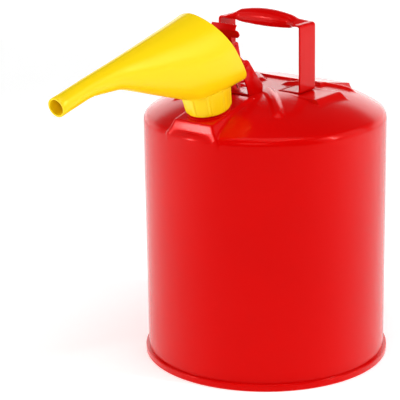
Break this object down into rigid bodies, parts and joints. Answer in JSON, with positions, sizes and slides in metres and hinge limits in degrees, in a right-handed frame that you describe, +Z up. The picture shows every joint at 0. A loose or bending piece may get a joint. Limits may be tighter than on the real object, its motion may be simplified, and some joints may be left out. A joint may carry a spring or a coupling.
{
  "type": "fuel safety can",
  "caption": "Round red steel five gallon fuel safety can with a strap handle, a spring-closed trigger lid and a yellow clip-on pouring funnel.",
  "frame": {"origin": "middle of the base, on the plane of the rolled bottom seam that the can stands on", "axes": "+Z up along the can's axis; -Y towards the pouring side, where the neck and funnel point; X along the handle's grip"},
  "size_m": [0.2976, 0.5125, 0.441],
  "materials": {
    "red_enamel": "gloss powder coat",
    "zinc_steel": "zinc plated",
    "steel_mesh": "woven mesh",
    "seal_rubber": "matte",
    "yellow_plastic": "satin moulded"
  },
  "bodies": {
    "can": {"body_shell": "red_enamel", "bottom_pan": "red_enamel", "filler_neck": "red_enamel", "arrester_flange": "zinc_steel", "arrester_mesh": "steel_mesh", "arrester_end_cap": "zinc_steel", "arrester_snap_ring": "zinc_steel", "hinge_bracket": "red_enamel", "hinge_pin": "zinc_steel", "pin_clip": "zinc_steel", "lid_spring": "zinc_steel", "handle_bail": "red_enamel"},
    "lid": {"cap_rivet": "zinc_steel", "lid_lever": "red_enamel", "trigger_plate": "red_enamel"},
    "cap": {"cap_shell": "red_enamel", "cap_gasket": "seal_rubber", "gasket_washer": "zinc_steel"},
    "funnel": {"funnel": "yellow_plastic"}
  },
  "joints": [
    {"name": "lid_hinge", "type": "hinge", "parent": "can", "child": "lid", "pos_m": [0, -0.06019, 0.36525], "axis": [-1, 0, 0], "range_deg": [0, 55], "stiffness_Nm_per_rad": 0.6, "springref_deg": -51.57, "deforming": ["lid_spring"]},
    {"name": "cap_swivel", "type": "hinge", "parent": "lid", "child": "cap", "pos_m": [0, -0.108, 0.3255], "axis": [0, -0.2419, 0.9703], "continuous": true},
    {"name": "funnel_twist", "type": "hinge", "parent": "can", "child": "funnel", "pos_m": [0, -0.108, 0.3255], "axis": [0, -0.2419, 0.9703], "range_deg": [-25, 25]}
  ]
}
